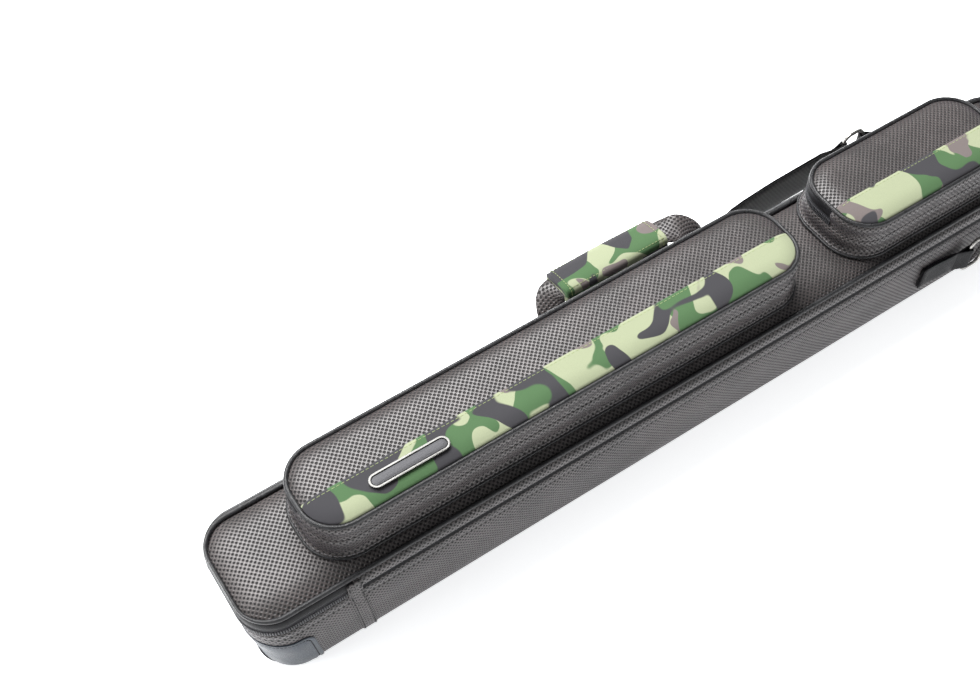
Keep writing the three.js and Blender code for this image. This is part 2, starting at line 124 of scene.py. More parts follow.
class Outline:
    """A rounded rectangle, walked counterclockwise from the middle of its near side."""

    def __init__(self, lo, hi, radius, shrink=0):
        self.cx, self.cy = (lo[0] + hi[0]) / 2, (lo[1] + hi[1]) / 2
        self.hx, self.hy = (hi[0] - lo[0]) / 2 - shrink, (hi[1] - lo[1]) / 2 - shrink
        self.radius = radius
        self.sx, self.sy = self.hx - radius, self.hy - radius
        self.arc = radius * pi / 2
        self.legs = [self.sx, 2 * self.sy, 2 * self.sx, 2 * self.sy, self.sx]
        self.length = sum(self.legs) + 4 * self.arc

    def at(self, run):
        """The point, outward normal and run at a distance along the outline."""
        left = run % self.length
        starts = [(0, -self.hy), (self.hx, -self.sy), (self.sx, self.hy), (-self.hx, self.sy),
                  (-self.sx, -self.hy)]
        centres = [(self.sx, -self.sy), (self.sx, self.sy), (-self.sx, self.sy), (-self.sx, -self.sy)]
        for k, leg in enumerate(self.legs):
            angle = (k - 1) * pi / 2
            if left <= leg or k == 4:
                nx, ny = cos(angle), sin(angle)
                x, y = starts[k][0] - ny * left, starts[k][1] + nx * left
                return self.cx + x, self.cy + y, nx, ny, run
            left -= leg
            if left < self.arc:
                angle += left / self.radius
                nx, ny = cos(angle), sin(angle)
                x, y = centres[k][0] + self.radius * nx, centres[k][1] + self.radius * ny
                return self.cx + x, self.cy + y, nx, ny, run
            left -= self.arc

    def stations(self, start=0.0, end=None, step=9.0, corner=12):
        """Stations all round, or from one run to another."""
        closed = end is None
        end = self.length if closed else end
        marks, run = [], 0.0
        for k, leg in enumerate(self.legs):
            parts = max(1, ceil(leg / step))
            marks += [run + leg * i / parts for i in range(parts)]
            run += leg
            if k < 4:
                marks += [run + self.arc * i / corner for i in range(corner)]
                run += self.arc
        turns = [m + turn * self.length for turn in (-1, 0, 1) for m in marks]
        runs = sorted(m for m in turns if start + 0.01 < m < end - 0.01)
        return [self.at(r) for r in [start, *runs, *([] if closed else [end])]]

    def walk(self, count):
        """Evenly spaced stations all round, the first one again at the end."""
        return [self.at(self.length * i / count) for i in range(count + 1)]

    def inset(self, x, y):
        """How far inside the outline a point lies."""
        qx, qy = abs(x - self.cx) - self.sx, abs(y - self.cy) - self.sy
        return self.radius - hypot(max(qx, 0), max(qy, 0)) - min(max(qx, qy), 0)

    def medial(self, x):
        """The nearest point to a place on the outline's middle line."""
        reach = max(self.hx - self.hy, 0)
        return min(max(x, self.cx - reach), self.cx + reach), self.cy


def curve(points, parts=4):
    """A smooth line through some points of any dimension."""
    pts = [Vector(p) for p in points]
    pts = [pts[0] * 2 - pts[1], *pts, pts[-1] * 2 - pts[-2]]
    out = []
    for a, b, c, d in zip(pts, pts[1:], pts[2:], pts[3:]):
        for i in range(parts):
            t = i / parts
            out.append(0.5 * (2 * b + (c - a) * t + (2 * a - 5 * b + 4 * c - d) * t * t
                              + (3 * b - 3 * c + d - a) * t ** 3))
    return [*out, pts[-2]]


def thick(line, by):
    """A closed section from an outer line, listed from its top down, and a thickness."""
    inner = []
    for i, p in enumerate(line):
        along = line[min(i + 1, len(line) - 1)] - line[max(i - 1, 0)]
        inner.append(p - Vector((-along.y, along.x)).normalized() * by)
    return [*line, *reversed(inner)]


def circle(radius, z, outset=0.0, sides=14):
    """The closed section of a cord or wire."""
    turn = 2 * pi / sides
    return [Vector((outset + radius * cos(i * turn), z + radius * sin(i * turn)))
            for i in range(sides)]


def profile(points, height, by):
    """The closed section of a sheet, from its outsets and rises over a height."""
    return thick(curve([(outset, height + rise) for outset, rise in points]), by)


# ---- making meshes ----
def finish_piece(name, verts, faces, material, body, uvs=None, slot=None, replaces="", weld=True):
    """Makes a piece; its slot argument is not used."""
    mesh = bpy.data.meshes.new(name)
    mesh.from_pydata([Vector(v) * MM for v in verts], [], faces)
    if uvs:
        layer = mesh.uv_layers.new(name="UVMap")
        for loop, uv in zip(layer.data, uvs):
            loop.uv = uv
    if weld:
        bm = bmesh.new()
        bm.from_mesh(mesh)
        bmesh.ops.remove_doubles(bm, verts=bm.verts, dist=1e-6)
        bmesh.ops.dissolve_degenerate(bm, edges=bm.edges, dist=1e-7)
        bmesh.ops.recalc_face_normals(bm, faces=bm.faces)
        bm.to_mesh(mesh)
        bm.free()
    mesh.shade_smooth()
    mesh.materials.append(material)
    piece = add_object(name, mesh)
    if body:
        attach(piece, body)
    if replaces:
        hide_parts(*replaces.split())
    return piece


def grid_piece(name, rows, runs, material, body, closed, **facts):
    """A solid from rows of points that each go round it. Its UVs are the runs along and
    round it, or the plan where there are none."""
    count, wide = len(rows), len(rows[0])
    verts = [p for row in rows for p in row]
    faces, uvs = [], []
    for i in range(count if closed else count - 1):
        k = (i + 1) % count
        for j in range(wide):
            m = (j + 1) % wide
            corners = ((i, j), (k, j), (k, m), (i, m))
            faces.append(tuple(a * wide + b for a, b in corners))
            if runs:
                us, vs = runs
                uvs += [(us[i + a], vs[j + b]) for a, b in ((0, 0), (1, 0), (1, 1), (0, 1))]
            else:
                uvs += [rows[a][b].xy for a, b in corners]
    if not closed:
        for end in (0, count - 1):
            faces.append(tuple(range(end * wide, end * wide + wide)))
            uvs += [(runs[0][end], runs[1][j]) if runs else (0, 0) for j in range(wide)]
    return finish_piece(name, verts, faces, material, body, uvs, **facts)


def runs_of(section):
    """The run at each point of a closed section."""
    runs = [0.0]
    for a, b in zip(section, [*section[1:], section[0]]):
        runs.append(runs[-1] + (b - a).length)
    return runs


def sweep(name, stations, section, place, material, body, closed=True, **facts):
    """A closed section carried along an outline."""
    rows = [[place(st, p[0], p[1]) for p in section] for st in stations]
    us = [st[4] for st in stations]
    if closed:
        us.append(2 * us[-1] - us[-2])
    return grid_piece(name, rows, (us, runs_of(section)), material, body, closed, **facts)


INSETS = (0.0, 0.8, 2, 4, 6.5, 9.5, 13, 17, 21.5)  # where a dome has its rows, from its edge


def dome(name, outline, height, thickness, place, material, body, step=6.0, **facts):
    """A crowned sheet over an outline: rows step inwards, then run to its middle line."""
    stations = outline.stations(step=step)
    insets = [i for i in INSETS if i < min(outline.radius, outline.hy) * 0.85]

    def plan(st, inset):
        return st[0] - st[2] * inset, st[1] - st[3] * inset

    flat = [[plan(st, inset) for st in stations] for inset in insets]
    for part in (0.35, 0.7, 1.0):
        flat.append([(x + (outline.medial(x)[0] - x) * part, y + (outline.medial(x)[1] - y) * part)
                     for x, y in flat[len(insets) - 1]])
    top = [[(x, y, height(x, y)) for x, y in row] for row in flat]
    under = [[(x, y, h - thickness) for x, y, h in row] for row in top]
    columns = list(zip(*reversed(under), *top))
    wide = len(columns[0])
    faces, uvs = [], []
    for i in range(len(columns)):
        k = (i + 1) % len(columns)
        for j in range(wide - 1):
            corners = ((i, j), (k, j), (k, j + 1), (i, j + 1))
            faces.append(tuple(a * wide + b for a, b in corners))
            uvs += [columns[a][b][:2] for a, b in corners]
    verts = [place(*p) for column in columns for p in column]
    return finish_piece(name, verts, faces, material, body, uvs, **facts)


def in_plan(x, y, z):
    return Vector((x, y, z))


def ripple(x, y, seed, size):
    return noise.noise(Vector((x / size, y / size, seed)))


class Beads:
    """Many small rounded bodies, such as stitches or zip teeth, gathered into one piece."""

    def __init__(self):
        self.verts, self.faces = [], []

    def add(self, centre, along, out, length, radius):
        along, out = along.normalized(), out.normalized()
        across = along.cross(out).normalized()
        base = len(self.verts)
        sides, rings = 6, [(-0.5, 0.35), (-0.36, 0.85), (0.36, 0.85), (0.5, 0.35)]
        for shift, share in rings:
            for k in range(sides):
                angle = 2 * pi * k / sides
                side = across * cos(angle) + out * sin(angle)
                self.verts.append(centre + along * shift * length + side * radius * share)
        for r in range(len(rings) - 1):
            for k in range(sides):
                a, b = base + r * sides + k, base + r * sides + (k + 1) % sides
                self.faces.append((a, b, b + sides, a + sides))
        self.faces.append(tuple(base + k for k in reversed(range(sides))))
        self.faces.append(tuple(base + 3 * sides + k for k in range(sides)))

    def stitch(self, line, outs, pitch=3.6, length=2.5, radius=0.42, sink=0.12):
        """Stitches along a line of points, with the outward direction at each point."""
        gone, target = 0.0, pitch / 2
        for a, b, out in zip(line, line[1:], outs):
            span = (b - a).length
            while target <= gone + span and span > 0:
                self.add(a + (b - a) * ((target - gone) / span) - out * sink, b - a, out, length, radius)
                target += pitch
            gone += span

    def piece(self, name, material, body, **facts):
        return finish_piece(name, self.verts, self.faces, material, body, weld=False, **facts)


def sewn(name, thread, body, *rows, slot="smooth_leather"):
    """Stitching of several rows, each a line of points, its outward directions and its gauge."""
    beads = Beads()
    for row in rows:
        beads.stitch(*row)
    return beads.piece(name, thread, body, slot=slot)


# ---- materials ----
class Look:
    """A material made of nodes around one shader."""

    def __init__(self, name, **constants):
        self.material = bpy.data.materials.new(name)
        self.material.use_nodes = True
        self.tree = self.material.node_tree
        self.tree.nodes.clear()
        output = self.tree.nodes.new("ShaderNodeOutputMaterial")
        self.shader = self.tree.nodes.new("ShaderNodeBsdfPrincipled")
        self.tree.links.new(self.shader.outputs[0], output.inputs[0])
        self.use(**constants)

    def node(self, kind, settings=None, inputs=None):
        made = self.tree.nodes.new("ShaderNode" + kind)
        for key, value in (settings or {}).items():
            setattr(made, key, value)
        for key, value in (inputs or {}).items():
            self.feed(made.inputs[key], value)
        return made

    def feed(self, socket, value):
        """Links a socket or sets its value; colours are red, green and blue."""
        if isinstance(value, bpy.types.NodeSocket):
            self.tree.links.new(value, socket)
        else:
            socket.default_value = (*value, 1) if socket.type == "RGBA" else value

    def uv(self):
        return self.node("UVMap", {"uv_map": "UVMap"}).outputs[0]

    def object_mm(self):
        """Object coordinates in millimetres."""
        return self.vector("SCALE", self.node("TexCoord").outputs["Object"], scale=1 / MM)

    def maths(self, operation, a, b=0.0):
        return self.node("Math", {"operation": operation}, {0: a, 1: b}).outputs[0]

    def vector(self, operation, a, b=None, scale=None):
        inputs = {key: value for key, value in {0: a, 1: b, "Scale": scale}.items() if value is not None}
        made = self.node("VectorMath", {"operation": operation}, inputs)
        return made.outputs["Value" if operation == "LENGTH" else "Vector"]

    def turned(self, where, angle):
        """Coordinates turned about Z."""
        return self.node("VectorRotate", {"rotation_type": "Z_AXIS"},
                         {"Vector": where, "Angle": angle}).outputs[0]

    def ranged(self, value, low, high, to_low=0.0, to_high=1.0):
        return self.node("MapRange", {"interpolation_type": "SMOOTHSTEP"}, {
            "Value": value, "From Min": low, "From Max": high, "To Min": to_low, "To Max": to_high,
        }).outputs[0]

    def noise(self, where, scale, detail=2.0, rough=0.5, distortion=0.0):
        return self.node("TexNoise", None, {
            "Vector": where, "Scale": scale, "Detail": detail, "Roughness": rough, "Distortion": distortion,
        }).outputs[0]

    def mix(self, share, a, b):
        return self.node("Mix", {"data_type": "RGBA"}, {0: share, 6: a, 7: b}).outputs[2]

    def bump(self, height, distance, normal=None):
        made = self.node("Bump", None, {"Height": height, "Distance": distance})
        if normal:
            self.feed(made.inputs["Normal"], normal)
        return made.outputs[0]

    def use(self, **inputs):
        """Feeds the shader's sockets, whose names are given in lower case."""
        for key, value in inputs.items():
            self.feed(self.shader.inputs[key.replace("_", " ").title().replace("Ior", "IOR")], value)
        return self.material


def brighter(colour, by):
    return tuple(part * by for part in colour)


HOLE_PITCH = 3.2  # between neighbouring holes, along the diagonal rows


def perforated_leather():
    """Grained leatherette with small punched holes in diagonal rows; each hole is painted near-black: the
    hole is real, its darkness is painted shade.
    """
    look = Look("perforated_leather", ior=1.52,
                sheen_weight=0.05, sheen_roughness=0.4, sheen_tint=(0.75, 0.66, 0.85))
    rows = look.turned(look.uv(), pi / 4)
    cell = look.vector("FRACTION", look.vector("SCALE", rows, scale=1 / HOLE_PITCH))
    from_hole = look.vector("LENGTH", look.vector("SUBTRACT", cell, (0.5, 0.5, 0)))
    leather = look.ranged(from_hole, 0.22, 0.31)
    dimple = look.ranged(from_hole, 0.18, 0.44)
    grain = look.noise(look.object_mm(), 1.1, 3, 0.6)
    blotch = look.noise(look.object_mm(), 0.03, 2, 0.5)
    tone = look.mix(look.ranged(blotch, 0.35, 0.65), (0.036, 0.031, 0.030), (0.052, 0.044, 0.043))
    # painted shade: the colour drops to near-black inside each punched hole, for the shade within it
    colour = look.mix(leather, (0.002, 0.002, 0.0025), tone)
    rough = look.maths("ADD", look.ranged(grain, 0.2, 0.8, 0.33, 0.43),
                       look.maths("MULTIPLY", look.maths("SUBTRACT", 1.0, leather), 0.4))
    fine = look.bump(grain, 0.00012)
    return look.use(base_color=colour, roughness=rough, normal=look.bump(dimple, 0.0006, fine))


def smooth_leather(name, colour, rough, ior=1.34):
    """Leather with a fine grain and slightly worn places."""
    look = Look(name, ior=ior)
    where = look.object_mm()
    cells = look.node("TexVoronoi", {"feature": "DISTANCE_TO_EDGE"},
                      {"Vector": where, "Scale": 0.9}).outputs[0]
    wear = look.noise(where, 0.05, 3, 0.6)
    tone = look.mix(look.ranged(wear, 0.4, 0.7), colour, brighter(colour, 1.5))
    roughness = look.ranged(wear, 0.3, 0.7, rough, rough + 0.12)
    height = look.ranged(cells, 0.0, 0.25)
    return look.use(base_color=tone, roughness=roughness, normal=look.bump(height, 0.00008))


def woven(name, colour, pitch, rough=0.75, depth=0.00012):
    """Cloth or webbing with a fine diagonal weave."""
    look = Look(name, ior=1.25, sheen_weight=0.05, sheen_roughness=0.5)
    where = look.object_mm()
    skew = look.turned(where, 0.7)
    weave = look.node("TexWave", None, {"Vector": skew, "Scale": 0.31 / pitch, "Distortion": 0.6}).outputs[1]
    patch = look.noise(where, 0.08, 2)
    tone = look.mix(look.ranged(patch, 0.3, 0.8, 0.2, 0.8), colour, brighter(colour, 1.7))
    return look.use(base_color=tone, roughness=rough, normal=look.bump(weave, depth))


def camouflage():
    """Printed cotton in four colours, with interlocking blots."""
    look = Look("camouflage_cloth", ior=1.4, sheen_weight=0.08, sheen_roughness=0.5)
    uv = look.uv()

    def blots(seed, scale, level):
        where = look.vector("ADD", uv, (seed * 37.0, seed * 91.0, seed * 13.0))
        field = look.noise(where, scale, 1.0, 0.35, 0.5)
        return look.ranged(field, level - 0.006, level + 0.006)

    colour = look.mix(blots(2.0, 0.024, 0.53), (0.255, 0.282, 0.178), (0.044, 0.100, 0.036))
    colour = look.mix(blots(6.0, 0.028, 0.62), colour, (0.118, 0.098, 0.094))
    colour = look.mix(blots(15.0, 0.021, 0.535), colour, (0.026, 0.025, 0.029))
    threads = look.noise(look.object_mm(), 2.4, 2, 0.7)
    shade = look.mix(look.ranged(threads, 0.25, 0.75, 0.0, 0.16), colour, (0.02, 0.02, 0.02))
    return look.use(base_color=shade, roughness=0.82, normal=look.bump(threads, 0.00012))


def plush():
    look = Look("plush_lining", ior=1.4, sheen_weight=0.8, sheen_roughness=0.35, sheen_tint=(0.6, 0.6, 0.66))
    where = look.object_mm()
    nap = look.noise(where, 1.8, 4, 0.7)
    swirl = look.noise(where, 0.03, 3, 0.6)
    tone = look.mix(look.ranged(swirl, 0.35, 0.65), (0.018, 0.018, 0.022), (0.038, 0.038, 0.046))
    return look.use(base_color=tone, roughness=0.95, normal=look.bump(nap, 0.0006))


def grained(name, stretch, noise_settings, colours, rough, relief, **constants):
    """A surface whose tone and relief follow one stretched noise, and its roughness if a range."""
    look = Look(name, **constants)
    grain = look.noise(look.vector("MULTIPLY", look.object_mm(), stretch), *noise_settings)
    if isinstance(rough, tuple):
        rough = look.ranged(grain, 0.2, 0.8, *rough)
    return look.use(base_color=look.mix(grain, *colours), roughness=rough, normal=look.bump(grain, relief))


def smooth_metal(name, colour):
    """Dark metal brushed along X."""
    return grained(name, (0.04, 3, 3), (2.0, 3, 0.7), (colour, brighter(colour, 1.8)), (0.28, 0.46),
                   0.00004, metallic=1.0)


def plastic(name, colour, rough):
    return grained(name, (1, 1, 1), (0.9, 2), (colour, brighter(colour, 1.6)), rough, 0.00004, ior=1.5)


PERFORATED = perforated_leather()
SMOOTH = smooth_leather("smooth_leather", (0.006, 0.006, 0.007), 0.34, 1.2)
PATCH = smooth_leather("patch_leather", (0.036, 0.043, 0.053), 0.28)
PIPING = smooth_leather("piping_leather", (0.014, 0.014, 0.015), 0.22)
TAPE = woven("zip_tape", (0.014, 0.014, 0.016), 0.8)
WEBBING = woven("strap_webbing", (0.0035, 0.0035, 0.004), 1.4, 0.62, 0.0003)
CLOTH = woven("inner_cloth", (0.005, 0.005, 0.006), 0.6)
LINING = woven("pocket_cloth", (0.022, 0.022, 0.026), 0.6)
CAMO = camouflage()
PLUSH = plush()
BOARD = grained("stiff_board", (0.2, 1, 1), (0.7, 4, 0.7), ((0.045, 0.038, 0.032), (0.10, 0.084, 0.066)),
                0.85, 0.0002, ior=1.45)
NICKEL = grained("nickel", (0.15, 1, 1), (1.4, 3, 0.6), ((0.27, 0.262, 0.25), (0.40, 0.39, 0.37)),
                 (0.16, 0.34), 0.00003, metallic=1.0)
TEETH = plastic("zip_teeth", (0.030, 0.030, 0.034), 0.35)
BLACK_THREAD = plastic("black_thread", (0.004, 0.004, 0.0045), 0.7)
DARK_THREAD = plastic("dark_thread", (0.020, 0.020, 0.022), 0.55)
GREY_THREAD = plastic("grey_thread", (0.10, 0.095, 0.10), 0.45)
PALE_THREAD = plastic("pale_thread", (0.165, 0.195, 0.085), 0.6)
BRUSHED = smooth_metal("brushed_inlay", (0.018, 0.018, 0.019))
BADGE_METAL = smooth_metal("badge_metal", (0.07, 0.069, 0.066))

# ---- the body's frame ----
PIPE = 2.2  # the radius of the piping
BODY_RADIUS, BACK_RADIUS, INNER_RADIUS = 28, 25, 24
ZIP_SWELL = 0.6  # share by which the zip side bulges out further
TRIM_SWELL = 1.3  # the same for the trim round the zip
END_TUCK = 0.55  # share by which the ends bulge less
END_TAPER = 8.0  # how far an end wall leans in at the bottom
pipe_lo, pipe_hi = box("front_piping")
BODY = Outline(pipe_lo, pipe_hi, BODY_RADIUS, PIPE)
PIPE_Z = (pipe_lo.z + pipe_hi.z) / 2
PARTING = (box("back_zip_teeth")[1].z + box("lid_zip_teeth")[0].z) / 2
FACE_Z = box("front_panel")[1].z
tab_lo, tab_hi = box("zip_end_tab_right")
TAB_X = (tab_lo.x + tab_hi.x) / 2


def on_body(st, outset, z, swell=ZIP_SWELL):
    """A point of the body's wall, with a slow unevenness along it."""
    x, y, nx, ny = st[:4]
    bulge = (1 + swell * max(0, ny)) * (1 - END_TUCK * abs(nx))
    out = outset * bulge if outset > 0 else outset
    free = min(1, max(0, (72 - z) / 25)) * min(1, max(0, z / 15))
    out += 0.9 * free * noise.noise(Vector((x / 55, y / 55, z / 40)))
    lean = END_TAPER * max(0, 1 - z / PARTING)
    return Vector(((x + nx * out) * (1 - lean / BODY.hx), y + ny * out, z))


def on_trim(st, outset, z):
    return on_body(st, outset, z, TRIM_SWELL)


def outset_line(line):
    """The outset at a height, from a line listed from its top down."""
    def outset(z):
        for a, b in zip(line, line[1:]):
            if b.y <= z <= a.y:
                return b.x + (a.x - b.x) * (z - b.y) / max(a.y - b.y, 1e-6)
        return line[0].x if z > line[0].y else line[-1].x
    return outset


# Lines down the outside of the wall, the lid's ridge and the hinge, as outsets and heights.
WALL = curve([(2.4, 76.8), (3.8, 75.6), (4.5, 72.6), (4.3, 69.2), (3.5, 67.4), (4.3, 65.6), (5.1, 60),
              (5.5, 50), (5.3, 38), (4.9, 26), (4.0, 14), (2.6, 6), (0.6, 1.7), (-2.4, 0.6)])
RIDGE = curve([(0.6, 96.4), (2.6, 95.4), (4.6, 92.6), (5.3, 89.4), (4.7, 86.4), (3.2, 84.6), (1.6, 83.6)])
HINGE = curve([(3.0, 85.6), (1.5, 83.8), (0.9, 81.6), (1.6, 79.2), (2.8, 77.4), (3.0, 76.2)])
WALL_OUT, RIDGE_OUT = outset_line(WALL), outset_line(RIDGE)
NEAR_RUN = (-TAB_X, TAB_X)
ZIP_RUN = (TAB_X, BODY.length - TAB_X)
ALL_ROUND, NEAR_SIDE, ZIP_SIDE = BODY.stations(), BODY.stations(*NEAR_RUN), BODY.stations(*ZIP_RUN)
COIL_OUT, COIL_GAP = 3.5, 1.15  # how far out the teeth lie, and from the parting
WALL_SEAMS, RIDGE_SEAMS = (74.6, 68.9), (94.2, 86.2)


def bend(piece):
    """Bakes a piece's placement into its mesh."""
    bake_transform(piece)


def wall_line(outline, start, end, outset, z, place, step=2.0):
    """Points along a wall and their outward directions."""
    count = max(2, int((end - start) / step))
    stations = [outline.at(start + (end - start) * i / count) for i in range(count + 1)]
    return [place(st, outset, z) for st in stations], [Vector((st[2], st[3], 0)) for st in stations]


def coil(name, outline, runs, outset, z, place, body, replaces, side):
    """One half of a coil zip: rounded turns that reach to the parting."""
    beads = Beads()
    points, outs = wall_line(outline, *runs, outset, z, place, 1.9)
    for i, (point, out) in enumerate(zip(points, outs)):
        beads.add(point, Vector((0, 0, 1)), out, 2.5, 0.72)
        if i:
            low = point + Vector((0, 0, side * 1.5))
            beads.add(low, point - points[i - 1], out, 1.7, 0.4)
    return beads.piece(name, TEETH, body, replaces=replaces)


# ---- the body ----
def make_back():
    sweep("wall_cover", ALL_ROUND, thick(WALL, 1.4), on_body, PERFORATED, BACK, replaces="side_wall")
    tape = thick(curve([(2.5, 80.4), (3.0, 79.2), (3.0, 77.4), (2.4, 76.0)]), 0.8)
    sweep("back_tape", ZIP_SIDE, tape, on_trim, TAPE, BACK, False, replaces="back_zip_tape")
    coil("back_coil", BODY, ZIP_RUN, COIL_OUT, PARTING - COIL_GAP, on_trim, BACK, "back_zip_teeth", -1)
    bind = thick(curve([(2.2, 79.4), (1.4, 80.6), (-1.6, 80.9), (-3.9, 80.6), (-4.2, 78.0)], 3), 0.5)
    sweep("back_rim_binding", ALL_ROUND, bind, on_body, CLOTH, BACK, slot="zip_tape")
    leather_hinge = sweep("hinge_leather", NEAR_SIDE, thick(HINGE, 0.9), on_body, SMOOTH, None, False,
                          replaces="back_hinge_strip lid_hinge_strip")
    bend(leather_hinge)
    sewn("wall_stitching", DARK_THREAD, BACK,
         *(wall_line(BODY, 0, BODY.length, WALL_OUT(z), z, on_body) for z in WALL_SEAMS))
    back_lo, back_hi = box("back_panel")
    outline = Outline(back_lo, back_hi, BACK_RADIUS)

    def under(x, y):
        edge = max(0, 1 - outline.inset(x, y) / 6)
        return -1.9 * edge * edge - 0.05

    dome("back_skin", outline, under, 1.2, lambda x, y, h: Vector((x, y, -h)), SMOOTH, BACK,
         slot="perforated_leather", replaces="back_panel")


def make_lid_wall():
    cover = thick(curve([(0.4, 96.4), (1.8, 95.6), (3.0, 93.4), (3.6, 91.0), (3.5, 89.0), (2.6, 88.2)]), 1.0)
    sweep("lid_zip_cover", ZIP_SIDE, cover, on_trim, SMOOTH, LID, False, replaces="lid_band")
    tape = thick(curve([(2.4, 88.8), (2.9, 87.2), (3.0, 84.8), (2.6, 82.8)]), 0.8)
    sweep("lid_tape", ZIP_SIDE, tape, on_trim, TAPE, LID, False, replaces="lid_zip_tape")
    coil("lid_coil", BODY, ZIP_RUN, COIL_OUT, PARTING + COIL_GAP, on_trim, LID, "lid_zip_teeth", 1)
    sweep("lid_ridge", NEAR_SIDE, thick(RIDGE, 1.3), on_body, PERFORATED, LID, False)
    bind = thick(curve([(-3.6, 84.6), (-3.4, 83.0), (-1.6, 82.5), (1.2, 82.7), (2.0, 84.0)], 3), 0.5)
    sweep("lid_rim_binding", ALL_ROUND, bind, on_body, CLOTH, LID, slot="zip_tape")
    sewn("lid_stitching", DARK_THREAD, LID,
         *(wall_line(BODY, *NEAR_RUN, RIDGE_OUT(z), z, on_body) for z in RIDGE_SEAMS))
    sweep("front_piping_cord", ALL_ROUND, circle(PIPE, PIPE_Z), on_body, PIPING, LID,
          slot="piping", replaces="front_piping")

    def crown(x, y):
        edge = max(0, 1 - BODY.inset(x, y) / 30)
        soft = min(1, BODY.inset(x, y) / 14)
        return FACE_Z - 0.25 - 6.2 * edge ** 2.8 + 0.3 * soft * ripple(x, y, 3.1, 42)

    dome("front_skin", BODY, crown, 1.3, in_plan, PERFORATED, LID, replaces="front_panel")


def wall_patch(u, v, h):
    """A point over the body's wall at a run, a height and a rise off the wall."""
    tuck = max(0, 1.8 - v)
    return on_body(BODY.at(u), WALL_OUT(max(v, 1.8)) + h - tuck, max(v, 0.5))


def make_protectors():
    top = box("corner_near_left")[1].z
    reach = BODY.arc / 2 + 12
    runs = {"near_right": BODY.sx, "far_right": BODY.sx + BODY.arc + 2 * BODY.sy,
            "far_left": 3 * BODY.sx + 2 * BODY.arc + 2 * BODY.sy,
            "near_left": 3 * BODY.sx + 3 * BODY.arc + 4 * BODY.sy}
    for corner, start in runs.items():
        middle = start + BODY.arc / 2
        low, high = (middle - reach, -5), (middle + reach, top)
        outline = Outline(low, high, 11)

        def rise(u, v):
            edge = outline.inset(u, v)
            rim = 0.7 * max(0, 1 - abs(edge - 1.6) / 1.6)
            groove = 0.75 * max(0, 1 - abs(edge - 4.0) / 1.5)
            return 0.9 + rim - groove + 0.35 * min(1, edge / 14)

        dome(f"protector_{corner}", outline, rise, 1.0, wall_patch, PATCH, BACK, step=1.5,
             slot="smooth_leather", replaces=f"corner_{corner}")
        inner = Outline(low, high, 8, 4.0)
        marks = [m for m in inner.walk(160) if m[1] > 3]
        line = [wall_patch(m[0], m[1], 0.7) for m in marks]
        outs = [Vector(BODY.at(m[0])[2:4] + (0,)) for m in marks]
        sewn(f"protector_{corner}_stitching", BLACK_THREAD, BACK, (line, outs, 3.0, 2.2, 0.45))


def near_outset(z):
    """The near side's outline with the hinge valley pulled flat under a tab."""
    if z > 90:
        return RIDGE_OUT(z) + 0.2
    if z < 73:
        return WALL_OUT(z) + 0.2
    share = (z - 73) / 17
    return (WALL_OUT(73) * (1 - share) + RIDGE_OUT(90) * share) - 1.4 * sin(pi * share)


def make_end_tabs():
    for side, sign in (("left", -1), ("right", 1)):
        outline = Outline((sign * TAB_X - 6.5, 3.0), (sign * TAB_X + 6.5, 95.2), 1.6)

        def place(u, v, h):
            return on_body(BODY.at(u), near_outset(v) + h, v)

        def rise(u, v):
            edge = outline.inset(u, v)
            return 0.7 + 1.0 * exp(-((edge - 3.4) / 1.3) ** 2) + 0.45 * min(1, edge / 4)

        tab = dome(f"end_tab_{side}", outline, rise, 0.9, place, PERFORATED, None, step=1.2,
                   replaces=f"zip_end_tab_{side}")
        bend(tab)
        rows = [[place(sign * TAB_X + across, 4 + 90 * i / 60, 1.2) for i in range(61)]
                for across in (-4.9, 4.9)]
        stitching = sewn(f"end_tab_{side}_stitching", BLACK_THREAD, None,
                         *((row, [Vector((0, -1, 0))] * len(row), 3.0, 2.3, 0.5) for row in rows))
        bend(stitching)


# ---- pockets ----
POCKET_PIPE = 2.0
POCKET_RADIUS = 31
ZIP_DROP = 16  # from a pocket's piping down to its zip
POCKET_COIL_OUT, POCKET_COIL_GAP = 1.5, 1.1
RIM_SEAM = 7.6  # from a pocket's piping down to the seam of its lid

# Lines down the outside, as outsets and rises: two round the zip and the hinge between them
# start from the zip's height, and the last two from the piping's.
LOW_TAPE = ((0.9, -1.3), (1.3, -2.4), (1.2, -4.0), (0.6, -5.2))
HIGH_TAPE = ((0.6, 5.2), (1.2, 4.0), (1.3, 2.4), (0.9, 1.3))
POCKET_HINGE = ((1.2, 5.4), (0.8, 2.6), (0.6, 0), (0.8, -2.6), (1.2, -5.0))
ZIP_COVER = ((0.6, -0.9), (1.9, -2.4), (2.3, -5.2), (1.9, -8.6), (0.9, 4.4 - ZIP_DROP))
NEAR_BAND = ((0.6, -0.9), (2.0, -2.3), (2.8, -5.0), (2.4, -8.2), (1.0, 4.0 - ZIP_DROP))


